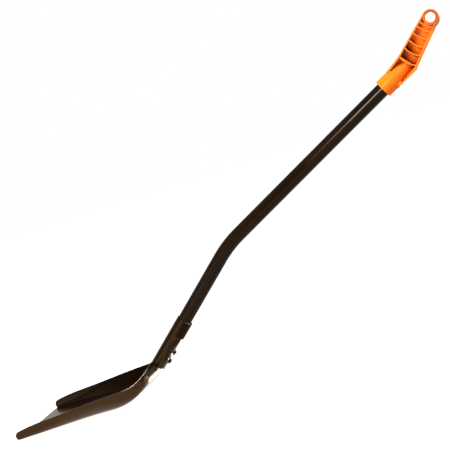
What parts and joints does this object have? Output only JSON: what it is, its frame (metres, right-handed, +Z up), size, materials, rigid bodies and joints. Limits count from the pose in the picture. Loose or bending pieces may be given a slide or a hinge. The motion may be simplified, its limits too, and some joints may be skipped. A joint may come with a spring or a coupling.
{
  "type": "snow shovel",
  "caption": "Steel pan shovel with raised sides and a low back wall, an open-backed socket, a bent black tube shaft and an orange ribbed D-grip",
  "frame": {"origin": "middle of the pan's flat underside, halfway between the cutting edge and the start of the heel", "axes": "+X across the pan, +Y from the cutting edge towards the grip, +Z up out of the pan, with the flat floor level"},
  "size_m": [0.3472, 1.15, 0.6199],
  "materials": {
    "enamel": "gloss black enamel over sheet steel",
    "tube_paint": "satin black paint with a faint warm cast",
    "zinc": "dull zinc plate",
    "core": "plain black moulding, hidden inside the tube",
    "orange": "bright orange moulding with a soft sheen"
  },
  "bodies": {
    "root": {"blade": "enamel", "mouth_strap": "enamel", "socket_bolts": "zinc", "saddle_washers": "zinc", "socket_nuts": "zinc", "lower_plug": "core", "shaft_tube": "tube_paint", "upper_plug": "core", "d_grip": "orange", "grip_bolt": "zinc", "grip_nut": "zinc"}
  },
  "joints": []
}
